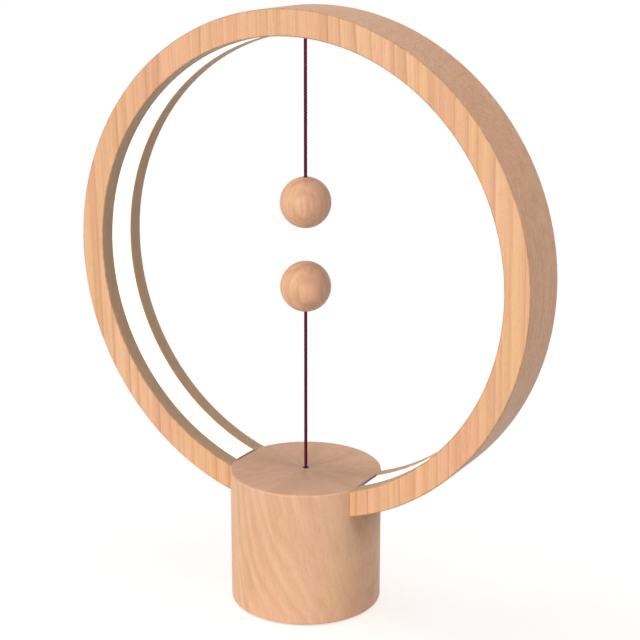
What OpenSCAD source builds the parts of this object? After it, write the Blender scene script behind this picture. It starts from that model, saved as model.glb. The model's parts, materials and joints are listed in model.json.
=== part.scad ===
// Magnetic balance lamp.
//
// A wooden ring with a lit groove round its inside stands on a turned wooden base.
// One ball hangs from the top of the ring on a cord. The other is tied to a switch in
// the base. Lifted, it is held under the upper ball by magnets, a finger's width away,
// and its cord draws the switch closed. The model shows the lamp switched on.
//
// Millimetres. +Z is up and +Y is the back. The origin is on the table, under the
// middle of the base.

/* [Base] */
// Diameter of the turned base
base_d = 74; // [62:1:90]
// Height of the base's top above the table
base_h = 67; // [56:1:81]
// Thickness of the base's side wall
base_wall = 7.5; // [7:0.5:9]
// Thickness of the base's top
base_top_t = 5; // [4:0.5:6]
// Radius that the base's outer edges are eased to
base_edge_r = 0.8; // [0.4:0.1:1.5]

/* [Ring] */
// Outside diameter of the ring
ring_od = 242; // [202:1:291]
// Width of the ring's face, from its outside to its inside
ring_face_w = 12.5; // [11:0.5:15]
// Depth of the ring from front to back
ring_depth = 31.5; // [27:0.5:38]
// Radius that the ring's edges are eased to
ring_edge_r = 0.6; // [0.3:0.1:1]
// How far the ring's inside stands above the base's top where it crosses the rim
ring_rise = 0.5; // [0:0.1:1]
// Wood between a ring end and the screw that holds it
ring_end_margin = 3.4; // [3:0.1:5]

/* [Light] */
// Width of the lit window round the inside of the ring
window_w = 15.6; // [13:0.2:17]
// How far the diffuser sits below the ring's inside
window_recess = 0.4; // [0.2:0.1:1.5]
// Thickness of the wooden lips in front of the diffuser's flanges
lip_t = 2.1; // [1.8:0.1:2.6]
// How far the diffuser's flanges reach behind the lips
flange_w = 1.2; // [0.8:0.1:1.5]
// Thickness of the diffuser
diffuser_t = 1.2; // [0.8:0.1:1.5]
// Depth of the groove in the ring
groove_depth = 7.5; // [6.5:0.1:9]
// Width of the light strip
strip_w = 10; // [8:1:12]
// Distance from one light to the next along the strip
chip_pitch = 10; // [8:1:16]

/* [Balls and cords] */
// Diameter of both balls
ball_d = 24.4; // [20:0.2:30]
// Height of the lower ball's centre above the base
lower_ball_lift = 92; // [60:1:96]
// Clear space between the balls
ball_gap = 16.4; // [12:0.2:20]
// Diameter of the cord
cord_d = 1.4; // [1.2:0.1:1.8]
// Diameter of the knots that hold the cords
knot_d = 3; // [2.6:0.1:3.4]
// Diameter of the magnets
magnet_d = 10; // [8:0.5:11]
// Thickness of the magnets
magnet_t = 5; // [3:0.5:6]
// Wood between a magnet's face and the ball's pole
magnet_skin = 2.2; // [2:0.1:3]

/* [Switch] */
// Travel of the pull switch
switch_travel = 2.5; // [2:0.1:3]
// Width of the switch housing
housing_w = 13; // [12:0.5:15]
// Diameter of the plunger's bore
plunger_bore_d = 8; // [7.5:0.1:9]
// Wire diameter of the return spring
spring_wire_d = 0.5; // [0.4:0.05:0.6]
// Turns of the return spring
spring_turns = 5; // [4:1:6]
// Thickness of the steel saddle that ties the ring's ends together
saddle_t = 1.5; // [1.2:0.1:2]

/* [Underside] */
// Gap between the wood and the table
foot_gap = 0.6; // [0.4:0.1:1]
// Thickness of the rubber foot ring
foot_t = 1.2; // [1:0.1:2]
// Thickness of the base plate
plate_t = 2.5; // [2:0.1:3.5]
// Width of the wooden rim round the base plate
plate_rim = 3; // [2.5:0.1:4]
// Thickness of the ballast
ballast_t = 12; // [8:1:14]
// Height of the board above the ballast
post_h = 4; // [3:0.5:6]
// Thickness of the circuit board
board_t = 1.6; // [1.2:0.2:2]

/* [Power inlet] */
// Width of the recess for the plug's body
inlet_w = 12.6; // [12:0.2:14]
// Height of the recess for the plug's body
inlet_h = 8; // [7.6:0.2:9]
// Wall thickness of the inlet's bezel
bezel_wall = 1.2; // [1:0.1:1.6]

/* [Hidden] */

$fn = 96;
tiny = 0.01;          // overshoot that keeps a cut clear of the face it starts from
fit = 0.1;            // gap all round between pieces that slide together once
roof_fit = 0.05;      // gap over the ring's ends inside the base
screw_fit = 0.05;     // gap round a screw in its hole
running_gap = 0.3;    // gap between the cord and what it runs through
joint_gap = 0.1;      // gap between the cord's bend and the cord beyond it
touch_gap = 0.02;     // gap between the plunger and the button that it presses

// Base
base_r = base_d / 2;
cavity_r = base_r - base_wall;
ceiling_z = base_h - base_top_t;
plate_z = foot_t;
plate_r = base_r - plate_rim - fit;
shoulder_z = plate_z + plate_t;
mount_screw_d = 2.5;
mount_head_d = 4.2;
pan_head_h = 1.4;
countersink = 0.4;    // depth of a countersunk head, as a share of its diameter
plate_screw_r = (cavity_r + plate_r - 0.5) / 2;
plate_screw_len = 11;
plate_screw_angles = [45, 135, 225, 315];
ballast_r = cavity_r - 2.5;
ballast_z = shoulder_z;
ballast_bevel = 1;
ballast_screw_d = 3;
ballast_head_d = 5.6;
ballast_screw_r = 14;
ballast_screw_len = 7;
ballast_screw_angles = [90, 210, 330];
hole_spare = 1;       // depth of a screw hole beyond its screw
foot_ri = 20;
foot_ro = cavity_r - 1;
foot_bevel = 0.4;

// Ring: its height follows from where its inside leaves the base's rim
ring_ro = ring_od / 2;
ring_ri = ring_ro - ring_face_w;
half_depth = ring_depth / 2;
rim_x = sqrt(pow(base_r, 2) - pow(window_w / 2, 2));
ring_z = base_h + ring_rise + sqrt(pow(ring_ri, 2) - pow(rim_x, 2));
groove_r = ring_ri + groove_depth;
lip_r = ring_ri + lip_t;
groove_half_w = window_w / 2 + flange_w + fit;
diffuser_face_r = ring_ri + window_recess;
edge_steps = 3;

// The screws that hold the ring's ends stand midway across the wood beside the groove
end_screw_y = (groove_half_w + half_depth) / 2;
end_screw_x = sqrt(pow(cavity_r - mount_head_d / 2 - 0.5, 2) - pow(end_screw_y, 2));
end_screw_angle = asin(end_screw_x / ring_ro);
end_screw_len = 9.5;
ring_end_x = end_screw_x - ring_end_margin;

// Light strip
strip_t = 0.3;
strip_glue = 0.05;
strip_r = groove_r - strip_glue;
chip_size = [2.8, 3.5, 1.2];
strip_gap_half = 13;
strip_end_in = 2;     // how far each strip stops short of its ring end
strip_top_angle = asin(strip_gap_half / groove_r);
strip_low_angle = 180 - asin((ring_end_x + strip_end_in) / groove_r);
chip_r = strip_r - strip_t - chip_size.z;
chip_step = chip_pitch / groove_r * 180 / PI;
chip_count = floor((strip_low_angle - strip_top_angle - 2) / chip_step);

// Balls, cords and the points where the cords bend
ball_r = ball_d / 2;
lower_ball_z = base_h + lower_ball_lift;
upper_ball_z = lower_ball_z + ball_d + ball_gap;
bend_out = 0.5;
lower_bend_z = base_h + bend_out;
upper_bend_z = ring_z + diffuser_face_r - bend_out;
cord_start = cord_d / 2 + joint_gap;
cord_bore_d = cord_d + 2 * running_gap;
knot_room = 0.2;
knot_pocket_floor = ball_r / 2;
spigot_d = 14;
spigot_t = 1;
eyelet_od = 3.2;
eyelet_flange_d = 6;
eyelet_flange_t = 0.8;

// Clip that the upper cord is tied over: its bridge clears the eyelet, and the knot its pocket
clip_t = 0.8;
clip_w = 8;
clip_foot_in = 6.5;
clip_foot_out = 11.5;
clip_bridge_half = 4.5;
clip_room = 0.2;
clip_bridge_drop = groove_depth - lip_t - diffuser_t - eyelet_flange_t - clip_room - clip_t;
clip_screw_d = 1.6;
clip_head_d = 3;
clip_head_h = 0.9;
clip_screw_x = 9;
clip_screw_len = 4;
knot_pocket_t = max(0, knot_d - clip_bridge_drop + 3 * knot_room);

// Pull switch, built up from the saddle
housing_z = ring_z - ring_ro;
housing_h = ceiling_z - housing_z;
housing_d = 12;
housing_roof = 1.5;
ear_y = 10.5;
ear_r = 3;
mount_screw_bite = 3.6;
flange_t = 1.5;
flange_lift = 1;
plunger_z = housing_z + flange_lift + switch_travel;
plunger_flange_d = plunger_bore_d - 0.4;
plunger_stem_d = 5;
plunger_stem_h = 4.5;
plunger_arm_w = 3;
spring_d = plunger_stem_d + 0.8 + 2 * spring_wire_d;
spring_z0 = plunger_z + flange_t;
spring_z1 = ceiling_z - housing_roof;
spring_sides = 6;
spring_steps = 12;
pull_cord_top = lower_bend_z - cord_d / 2 - 0.15;
pull_knot_d = 2.6;
saddle_inset = 0.6;   // how far the saddle's edges stand in from the ring's faces

// Microswitch beside the housing
button_free = 1.1;
button_travel = 0.6;
micro_size = [5.8, 12.8, 6.5];
micro_x = housing_w / 2 + fit;
micro_z = spring_z0 + touch_gap + button_free - button_travel;
button_size = [1.8, 2.6];
button_x = micro_x + micro_size.x / 2;
arm_x = button_x + button_size.x / 2 + 0.4;
micro_screw_y = 4.4;
micro_screw_z = micro_z + 2.4;
micro_screw_d = 1.6;
micro_screw_bite = 1.8;
terminal_size = [2.6, 2.2, 0.5];
terminal_y = 4;
terminal_x = micro_x + micro_size.x + terminal_size.x - 1.4;
terminal_z = micro_z + micro_size.z - 1.4;
micro_pocket_t = max(0, micro_z + micro_size.z + running_gap - ceiling_z);

// Board and inlet
board_z = ballast_z + ballast_t + post_h;
board_top = board_z + board_t;
board_r = cavity_r - 3.5;
post_r = 20.5;
post_angles = [30, 150, 270];
post_af = 4.5;
post_thread_d = 2.5;
post_thread_len = 3.6;
board_screw_d = 2;
board_screw_bite = 2.2;
inlet_z = board_top + 1.4;
bezel_flange_t = 1.4;
bezel_flange_size = [inlet_w + 6.4, inlet_h + 3.4];
bezel_flange_y = sqrt(pow(cavity_r, 2) - pow(bezel_flange_size.x / 2, 2)) - bezel_flange_t - fit;
socket_size = [7.5, 5.6, 2.8];
socket_wall = 0.3;
socket_y = bezel_flange_y + bezel_flange_t - socket_size.y;

// Wires: they leave the ring's groove and run down to sockets on the board
wire_d = 1.2;
wire_x = (micro_x + micro_size.x + terminal_size.x + ring_end_x) / 2;
wire_sides = 8;
wire_steps = 6;
wire_pair_y = [-1.4, 1.4];
wire_start_x = ring_end_x + 3;
wire_start_r = chip_r - wire_d / 2 - screw_fit;
wire_start_z = ring_z - sqrt(pow(wire_start_r, 2) - pow(wire_start_x, 2));
wire_socket_size = [4.6, 12.4, 5];
small_socket_w = 6.4;
wire_plug_in = 2;
wire_end_z = board_top + wire_socket_size.z;
saddle_window = [wire_d + 2.6, 12.4];

wood = [0.90, 0.70, 0.53];
steel = [0.72, 0.73, 0.75];
brass = [0.80, 0.66, 0.36];
black = [0.12, 0.12, 0.13];
cord_red = [0.36, 0.06, 0.08];

// ---------------------------------------------------------------- helpers

// Points of a quarter round of radius r about corner centre c, from angle a0
function quarter(c, r, a0, steps) =
    [for (i = [0 : steps]) c + r * [cos(a0 + 90 * i / steps), sin(a0 + 90 * i / steps)]];

// Point at share t along a cubic curve
function bezier(a, b, c, d, t) =
    pow(1 - t, 3) * a + 3 * pow(1 - t, 2) * t * b + 3 * (1 - t) * t * t * c + t * t * t * d;

function unit(v) = v / norm(v);

// Direction of a path at point i
function along(path, i) = unit(path[min(i + 1, len(path) - 1)] - path[max(i - 1, 0)]);

// A round bar of diameter d along path, whose sections are squared to it about ref
module bar_along(path, d, ref, sides) {
    rings = [for (i = [0 : len(path) - 1])
        let (t = along(path, i), u = unit(cross(ref, t)), v = cross(t, u))
        for (k = [0 : sides - 1])
            path[i] + d / 2 * (cos(360 * k / sides) * u + sin(360 * k / sides) * v)];
    last = (len(path) - 1) * sides;
    walls = [for (i = [0 : len(path) - 2]) for (k = [0 : sides - 1])
        let (a = i * sides + k, b = i * sides + (k + 1) % sides)
        each [[a, a + sides, b], [b, a + sides, b + sides]]];
    ends = [for (k = [1 : sides - 2]) each [[0, k, k + 1], [last, last + k + 1, last + k]]];
    polyhedron(rings, concat(walls, ends));
}

// Puts its children at an angle round the ring from its lowest point, with +Z outwards
module on_ring(angle, r) {
    translate([0, 0, ring_z]) rotate([0, 180 - angle, 0]) translate([0, 0, r]) children();
}

// Revolves a section drawn as [radius, depth] round the ring's centre
module revolve_ring() {
    translate([0, 0, ring_z]) rotate([90, 0, 0]) rotate_extrude($fn = 240) children();
}

// The space between the ring's ends, out to half width x
module between_ends(x) {
    translate([-x, -ring_depth, 0]) cube([2 * x, 2 * ring_depth, ring_z]);
}

// A screw with its head's seat at the origin, pointing along +Z
module screw(d, length, head_d, head_h, countersunk = false) {
    difference() {
        union() {
            cylinder(d = d, h = length - d / 2, $fn = 24);
            translate([0, 0, length - d / 2]) cylinder(d1 = d, d2 = d / 4, h = d / 2, $fn = 24);
            if (countersunk) cylinder(d1 = head_d, d2 = d, h = head_h, $fn = 32);
            else translate([0, 0, -head_h]) cylinder(d1 = head_d * 0.8, d2 = head_d, h = head_h, $fn = 32);
        }
        screw_recess(head_d, countersunk ? 0 : -head_h);
    }
}

// A cross recess in the head of a screw
module screw_recess(head_d, z) {
    for (a = [0, 90])
        rotate([0, 0, a]) translate([-head_d * 0.28, -head_d * 0.06, z - tiny])
            cube([head_d * 0.56, head_d * 0.12, head_d * 0.18 + tiny]);
}

// A plain hole for a screw, from its mouth at the origin up
module screw_hole(d, depth) {
    translate([0, 0, -tiny]) cylinder(d = d + 2 * screw_fit, h = depth + tiny, $fn = 32);
}

// A screw's hole with a countersunk mouth at the origin
module screw_seat(d, head_d, depth) {
    mouth_d = head_d + 2 * (screw_fit + tiny);
    screw_hole(d, depth);
    translate([0, 0, -tiny])
        cylinder(d1 = mouth_d, d2 = d + 2 * screw_fit, h = head_d * countersink + tiny, $fn = 32);
}

// A countersunk screw and the same with a pan head, with the head's seat at the origin
module flat_screw(d, length, head_d) screw(d, length, head_d, head_d * countersink, countersunk = true);
module pan_screw(d, length, head_d) screw(d, length, head_d, pan_head_h);

// A rectangle with half-round ends
module stadium(w, h) {
    square([w - h, h], center = true);
    for (s = [-1, 1]) translate([s * (w - h) / 2, 0]) circle(d = h, $fn = 48);
}

// ---------------------------------------------------------------- base

module base_section() {
    r = base_edge_r;
    polygon(concat(
        [[0, foot_gap]],
        quarter([base_r - r, foot_gap + r], r, -90, edge_steps),
        quarter([base_r - r, base_h - r], r, 0, edge_steps),
        [[0, base_h]]));
}

// What the ring's ends take out of the base: lips, and the sunk window between them
module ring_socket() {
    lip_in = ring_ri - roof_fit;
    window_in = diffuser_face_r - roof_fit;
    side = half_depth + roof_fit;
    tongue = window_w / 2 - roof_fit;
    difference() {
        revolve_ring() polygon([
            [ring_ro, -side], [ring_ro, side], [lip_in, side], [lip_in, tongue],
            [window_in, tongue], [window_in, -tongue], [lip_in, -tongue], [lip_in, -side]]);
        between_ends(ring_end_x - fit);
        translate([-ring_ro * 2, -ring_depth, ring_z])
            cube([ring_ro * 4, 2 * ring_depth, ring_ro * 2]);
    }
}

module base_shell() color(wood) difference() {
    rotate_extrude($fn = 180) base_section();
    translate([0, 0, shoulder_z]) cylinder(r = cavity_r, h = ceiling_z - shoulder_z, $fn = 180);
    cylinder(r = plate_r + fit, h = shoulder_z, $fn = 180);
    ring_socket();
    translate([0, 0, ceiling_z - tiny]) cylinder(d = eyelet_od, h = base_top_t + 2 * tiny, $fn = 48);
    translate([0, 0, inlet_z]) rotate([-90, 0, 0]) linear_extrude(height = base_d)
        stadium(inlet_w + 2 * bezel_wall, inlet_h + 2 * bezel_wall);
    at_plate_screws() screw_hole(mount_screw_d, plate_screw_len + hole_spare);
    for (s = [-1, 1]) translate([0, s * ear_y, ceiling_z]) screw_hole(mount_screw_d, mount_screw_bite + 0.2);
    // room over the microswitch, where the ring leaves too little under the base's top
    gap = running_gap;
    if (micro_pocket_t > 0)
        translate([micro_x - gap, -micro_size.y / 2 - gap, ceiling_z - tiny])
            cube([micro_size.x + 2 * gap, micro_size.y + 2 * gap, micro_pocket_t + tiny]);
}

module at_plate_screws() {
    for (a = plate_screw_angles) rotate([0, 0, a]) translate([plate_screw_r, 0, plate_z]) children();
}

module at_ballast_screws() {
    for (a = ballast_screw_angles) rotate([0, 0, a]) translate([ballast_screw_r, 0, plate_z]) children();
}

module base_plate() color(black) difference() {
    translate([0, 0, plate_z]) cylinder(r = plate_r, h = plate_t, $fn = 180);
    at_plate_screws() screw_seat(mount_screw_d, mount_head_d, plate_t + tiny);
    at_ballast_screws() screw_seat(ballast_screw_d, ballast_head_d, plate_t + tiny);
}

module base_plate_screws() color(steel) at_plate_screws()
    flat_screw(mount_screw_d, plate_screw_len, mount_head_d);

module ballast_screws() color(steel) at_ballast_screws()
    flat_screw(ballast_screw_d, ballast_screw_len, ballast_head_d);

module foot_ring() color(black) rotate_extrude($fn = 180)
    polygon([
        [foot_ri + foot_bevel, 0], [foot_ro - foot_bevel, 0], [foot_ro, foot_bevel],
        [foot_ro, foot_t], [foot_ri, foot_t], [foot_ri, foot_bevel]]);

module ballast() color([0.35, 0.36, 0.38]) difference() {
    b = ballast_bevel;
    translate([0, 0, ballast_z]) rotate_extrude($fn = 180)
        polygon([
            [0, 0], [ballast_r - b, 0], [ballast_r, b],
            [ballast_r, ballast_t - b], [ballast_r - b, ballast_t], [0, ballast_t]]);
    at_ballast_screws() screw_seat(ballast_screw_d, ballast_head_d, ballast_screw_len + hole_spare);
    at_posts(ballast_z + ballast_t) rotate([180, 0, 0]) screw_hole(post_thread_d, post_thread_len + 0.4);
}

// ---------------------------------------------------------------- ring and light

module ring_section() {
    r = ring_edge_r;
    w = window_w / 2;
    g = groove_half_w;
    polygon(concat(
        quarter([ring_ro - r, half_depth - r], r, 0, edge_steps),
        quarter([ring_ri + r, half_depth - r], r, 90, edge_steps),
        [[ring_ri, w], [lip_r, w], [lip_r, g], [groove_r, g]],
        [[groove_r, -g], [lip_r, -g], [lip_r, -w], [ring_ri, -w]],
        quarter([ring_ri + r, r - half_depth], r, 180, edge_steps),
        quarter([ring_ro - r, r - half_depth], r, 270, edge_steps)));
}

module ring_frame() color(wood) difference() {
    revolve_ring() ring_section();
    between_ends(ring_end_x);
    for (a = [-end_screw_angle, end_screw_angle]) for (s = [-1, 1])
        on_ring(a, ring_ro) translate([0, s * end_screw_y, 0]) rotate([180, 0, 0])
            screw_hole(mount_screw_d, end_screw_len - saddle_t + 0.2);
    // flat seat for the cord clip, with room for the knot and its two screws
    translate([-clip_foot_out - fit, -clip_w / 2 - fit, ring_z + lip_r])
        cube([2 * (clip_foot_out + fit), clip_w + 2 * fit, groove_depth - lip_t]);
    translate([0, 0, ring_z + groove_r - tiny])
        cylinder(d = knot_d + 2 * knot_room, h = knot_pocket_t + tiny, $fn = 32);
    for (s = [-1, 1]) translate([s * clip_screw_x, 0, ring_z + groove_r])
        screw_hole(clip_screw_d, clip_screw_len - clip_t + 0.2);
}

module diffuser() color([0.97, 0.97, 0.95]) difference() {
    revolve_ring() polygon([
        [diffuser_face_r, -window_w / 2 + roof_fit], [lip_r, -window_w / 2 + roof_fit],
        [lip_r, -window_w / 2 - flange_w], [lip_r + diffuser_t, -window_w / 2 - flange_w],
        [lip_r + diffuser_t, window_w / 2 + flange_w], [lip_r, window_w / 2 + flange_w],
        [lip_r, window_w / 2 - roof_fit], [diffuser_face_r, window_w / 2 - roof_fit]]);
    between_ends(ring_end_x + 0.5);
    translate([0, 0, ring_z + ring_ri]) cylinder(d = eyelet_od, h = groove_depth, $fn = 48);
}

// An arc of the ring between two angles from its top, as [radius, depth] rectangle
module ring_arc(r0, r1, half_w, a0, a1) {
    translate([0, 0, ring_z]) rotate([90, 0, 0]) rotate([0, 0, 90 + a0])
        rotate_extrude(angle = a1 - a0, $fn = 240)
            translate([r0, -half_w]) square([r1 - r0, 2 * half_w]);
}

module led_strip_left() color([0.93, 0.90, 0.80])
    ring_arc(strip_r - strip_t, strip_r, strip_w / 2, strip_top_angle, strip_low_angle);

module led_strip_right() color([0.93, 0.90, 0.80])
    ring_arc(strip_r - strip_t, strip_r, strip_w / 2, -strip_low_angle, -strip_top_angle);

module led_chips() color([0.98, 0.88, 0.45])
    for (side = [-1, 1]) for (i = [0 : chip_count])
        on_ring(180 + side * (strip_top_angle + 1.5 + i * chip_step), chip_r)
            translate([-chip_size.x / 2, -chip_size.y / 2, 0]) chip_body();

// The chip's back is eased so that it seats on the curved strip
module chip_body() {
    seat_r = strip_r - strip_t;
    sag = seat_r - sqrt(pow(seat_r, 2) - pow(chip_size.x / 2, 2));
    cube([chip_size.x, chip_size.y, chip_size.z - sag - tiny]);
}

// ---------------------------------------------------------------- upper cord

module cord_clip() color(brass) difference() {
    h = clip_bridge_drop;
    in = clip_foot_in + clip_t / 2;
    bridge = clip_bridge_half + clip_t / 2;
    translate([0, clip_w / 2, ring_z + groove_r]) rotate([90, 0, 0]) linear_extrude(height = clip_w) polygon([
        [-clip_foot_out, 0], [-clip_foot_in, 0], [-clip_bridge_half, -h], [clip_bridge_half, -h],
        [clip_foot_in, 0], [clip_foot_out, 0], [clip_foot_out, -clip_t], [in, -clip_t],
        [bridge, -h - clip_t], [-bridge, -h - clip_t], [-in, -clip_t], [-clip_foot_out, -clip_t]]);
    translate([0, 0, ring_z + ring_ri]) cylinder(d = cord_d + 2 * roof_fit, h = groove_depth, $fn = 32);
    for (s = [-1, 1]) translate([s * clip_screw_x, 0, ring_z + ring_ri])
        screw_hole(clip_screw_d, groove_depth + tiny);
}

module cord_clip_screws() color(steel) for (s = [-1, 1])
    translate([s * clip_screw_x, 0, ring_z + groove_r - clip_t])
        screw(clip_screw_d, clip_screw_len, clip_head_d, clip_head_h);

// A flanged tube that a cord runs through, with its mouth at the origin and its flange above
module eyelet(length) {
    difference() {
        union() {
            cylinder(d = eyelet_od - 2 * screw_fit, h = length, $fn = 48);
            translate([0, 0, length - eyelet_flange_t])
                cylinder(d = eyelet_flange_d, h = eyelet_flange_t, $fn = 48);
        }
        translate([0, 0, -tiny]) cylinder(d = cord_bore_d, h = length + 2 * tiny, $fn = 48);
        translate([0, 0, -tiny]) cylinder(d1 = cord_bore_d + 0.6, d2 = cord_bore_d, h = 0.4, $fn = 48);
    }
}

module upper_eyelet() color(steel)
    translate([0, 0, ring_z + diffuser_face_r])
        eyelet(lip_t - window_recess + diffuser_t + eyelet_flange_t);

// The end of the upper cord inside the ring, from the bend to the knot over the clip
module upper_anchor_knot() color(cord_red) {
    z0 = upper_bend_z + cord_start;
    z1 = ring_z + groove_r - clip_bridge_drop;
    translate([0, 0, z0]) cylinder(d = cord_d, h = z1 - z0 + knot_d / 2, $fn = 24);
    translate([0, 0, z1 + knot_d / 2]) sphere(d = knot_d, $fn = 32);
}

module upper_cord_bend() color(cord_red) translate([0, 0, upper_bend_z]) sphere(d = cord_d, $fn = 24);

module upper_cord() color(cord_red) {
    z0 = upper_ball_z + knot_pocket_floor + tiny;
    translate([0, 0, z0]) cylinder(d = cord_d, h = upper_bend_z - cord_start - z0, $fn = 24);
}

// ---------------------------------------------------------------- balls

// Half a ball about the origin, on its +Z side
module half_ball() {
    intersection() {
        sphere(d = ball_d, $fn = 96);
        translate([-ball_r, -ball_r, 0]) cube([ball_d, ball_d, ball_r]);
    }
}

// The half that the cord is tied into, with a spigot that centres the other half
module cord_half() {
    difference() {
        union() {
            half_ball();
            translate([0, 0, -spigot_t]) cylinder(d = spigot_d, h = spigot_t + tiny, $fn = 64);
        }
        translate([0, 0, -spigot_t - tiny])
            cylinder(d = knot_d + 2 * knot_room, h = knot_pocket_floor + spigot_t + tiny, $fn = 48);
        cylinder(d = cord_bore_d, h = ball_r + 1, $fn = 32);
        translate([0, 0, ball_r - 0.7]) cylinder(d1 = cord_bore_d, d2 = cord_bore_d + 2, h = 1, $fn = 32);
    }
}

// The half that holds the magnet, with its pole down
module magnet_half() {
    difference() {
        rotate([180, 0, 0]) half_ball();
        translate([0, 0, -spigot_t - fit]) cylinder(d = spigot_d + 2 * fit, h = spigot_t + 1, $fn = 64);
        translate([0, 0, magnet_skin - ball_r]) cylinder(d = magnet_d + 2 * fit, h = ball_r, $fn = 64);
    }
}

module magnet() {
    bevel = 0.3;
    r = magnet_d / 2;
    translate([0, 0, magnet_skin - ball_r]) rotate_extrude($fn = 64) polygon([
        [0, 0], [r - bevel, 0], [r, bevel], [r, magnet_t - bevel], [r - bevel, magnet_t], [0, magnet_t]]);
}

module ball_knot() {
    translate([0, 0, knot_pocket_floor - knot_d / 2]) sphere(d = knot_d, $fn = 32);
}

module upper_ball_top() color(wood) translate([0, 0, upper_ball_z]) cord_half();
module upper_ball_bottom() color(wood) translate([0, 0, upper_ball_z]) magnet_half();
module upper_magnet() color(steel) translate([0, 0, upper_ball_z]) magnet();
module upper_ball_knot() color(cord_red) translate([0, 0, upper_ball_z]) ball_knot();

// The lower ball is the upper one turned over
module at_lower_ball() {
    translate([0, 0, lower_ball_z]) rotate([180, 0, 0]) children();
}

module lower_ball_top() color(wood) at_lower_ball() magnet_half();
module lower_ball_bottom() color(wood) at_lower_ball() cord_half();
module lower_magnet() color(steel) at_lower_ball() magnet();
module lower_ball_knot() color(cord_red) at_lower_ball() ball_knot();

// ---------------------------------------------------------------- lower cord and pull switch

module lower_eyelet() color(steel)
    translate([0, 0, base_h]) rotate([180, 0, 0]) eyelet(base_top_t + eyelet_flange_t);

module lower_cord_bend() color(cord_red) translate([0, 0, lower_bend_z]) sphere(d = cord_d, $fn = 24);

module lower_cord() color(cord_red) {
    z0 = lower_bend_z + cord_start;
    z1 = lower_ball_z - knot_pocket_floor - joint_gap;
    translate([0, 0, z0]) cylinder(d = cord_d, h = z1 - z0, $fn = 24);
}

// The cord inside the base, from the eyelet down into the plunger
module pull_cord() color(cord_red) {
    z0 = plunger_z + pull_knot_d / 2;
    translate([0, 0, z0]) cylinder(d = cord_d, h = pull_cord_top - z0, $fn = 24);
}

module pull_cord_knot() color(cord_red) difference() {
    translate([0, 0, plunger_z + pull_knot_d / 2 - 0.4]) sphere(d = pull_knot_d, $fn = 32);
    translate([0, 0, plunger_z + pull_knot_d / 2]) cylinder(d = cord_d + 2 * tiny, h = pull_knot_d, $fn = 24);
}

// Steel strap that ties the ring's ends together under the base's top and carries the switch
module ring_saddle() color(steel) difference() {
    intersection() {
        revolve_ring() translate([ring_ro, saddle_inset - half_depth])
            square([saddle_t, ring_depth - 2 * saddle_inset]);
        cylinder(r = cavity_r - 0.3, h = ring_z - ring_ri, $fn = 180);
    }
    for (a = [-end_screw_angle, end_screw_angle]) for (s = [-1, 1])
        on_ring(a, ring_ro - 1) translate([0, s * end_screw_y, 0]) screw_hole(mount_screw_d, saddle_t + 2);
    for (s = [-1, 1]) translate([0, s * ear_y, 0]) screw_hole(mount_screw_d, housing_z + 1);
    for (s = [-1, 1]) translate([s * wire_x - saddle_window.x / 2, -saddle_window.y / 2, 0])
        cube([saddle_window.x, saddle_window.y, ring_z - ring_ri]);
}

module ring_end_screws() color(steel) for (a = [-end_screw_angle, end_screw_angle]) for (s = [-1, 1])
    on_ring(a, ring_ro + saddle_t) translate([0, s * end_screw_y, 0]) rotate([180, 0, 0])
        pan_screw(mount_screw_d, end_screw_len, mount_head_d);

module switch_mount_screws() color(steel) {
    z0 = ring_z - ring_ro - saddle_t;
    for (s = [-1, 1]) translate([0, s * ear_y, z0])
        pan_screw(mount_screw_d, ceiling_z + mount_screw_bite - z0, mount_head_d);
}

module switch_housing() color(black) difference() {
    intersection() {
        union() {
            translate([-housing_w / 2, -housing_d / 2, housing_z]) cube([housing_w, housing_d, housing_h]);
            for (s = [-1, 1]) {
                translate([0, s * ear_y, housing_z]) cylinder(r = ear_r, h = housing_h, $fn = 48);
                translate([-2, s > 0 ? 0 : -ear_y, housing_z]) cube([4, ear_y, housing_h]);
            }
        }
        // the underside follows the saddle that it stands on
        revolve_ring() translate([0, -half_depth]) square([ring_ro - tiny, ring_depth]);
    }
    translate([0, 0, housing_z - tiny])
        cylinder(d = plunger_bore_d, h = spring_z1 - housing_z + tiny, $fn = 64);
    translate([0, 0, housing_z]) cylinder(d = cord_bore_d + 0.4, h = housing_h + tiny, $fn = 32);
    translate([0, 0, ceiling_z - eyelet_flange_t - fit])
        cylinder(d = eyelet_flange_d + 2 * fit, h = eyelet_flange_t + fit + tiny, $fn = 48);
    translate([0, -plunger_arm_w / 2 - fit, housing_z - tiny])
        cube([housing_w, plunger_arm_w + 2 * fit, plunger_z - housing_z + flange_t + 0.4]);
    for (s = [-1, 1]) {
        translate([0, s * ear_y, housing_z]) screw_hole(mount_screw_d, housing_h + tiny);
        translate([housing_w / 2, s * micro_screw_y, micro_screw_z]) rotate([0, -90, 0])
            screw_hole(micro_screw_d, micro_screw_bite + 0.1);
    }
}

module switch_plunger() color([0.85, 0.85, 0.83]) difference() {
    union() {
        translate([0, 0, plunger_z]) cylinder(d = plunger_flange_d, h = flange_t, $fn = 64);
        translate([0, 0, plunger_z]) cylinder(d = plunger_stem_d, h = flange_t + plunger_stem_h, $fn = 48);
        translate([0, -plunger_arm_w / 2, plunger_z]) cube([arm_x, plunger_arm_w, flange_t]);
    }
    translate([0, 0, plunger_z - tiny]) {
        cylinder(d = cord_d + 2 * roof_fit, h = flange_t + plunger_stem_h + 1, $fn = 32);
        cylinder(d = pull_knot_d + 2 * knot_room, h = pull_knot_d - 2 * knot_room, $fn = 32);
    }
}

module plunger_spring() color(steel) {
    z0 = spring_z0 + spring_wire_d / 2 + touch_gap;
    z1 = spring_z1 - spring_wire_d / 2 - touch_gap;
    steps = spring_turns * spring_steps;
    r = (spring_d - spring_wire_d) / 2;
    bar_along([for (i = [0 : steps]) let (a = 360 * i / spring_steps)
        [r * cos(a), r * sin(a), z0 + (z1 - z0) * i / steps]], spring_wire_d, [0, 0, 1], spring_sides);
}

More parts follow.
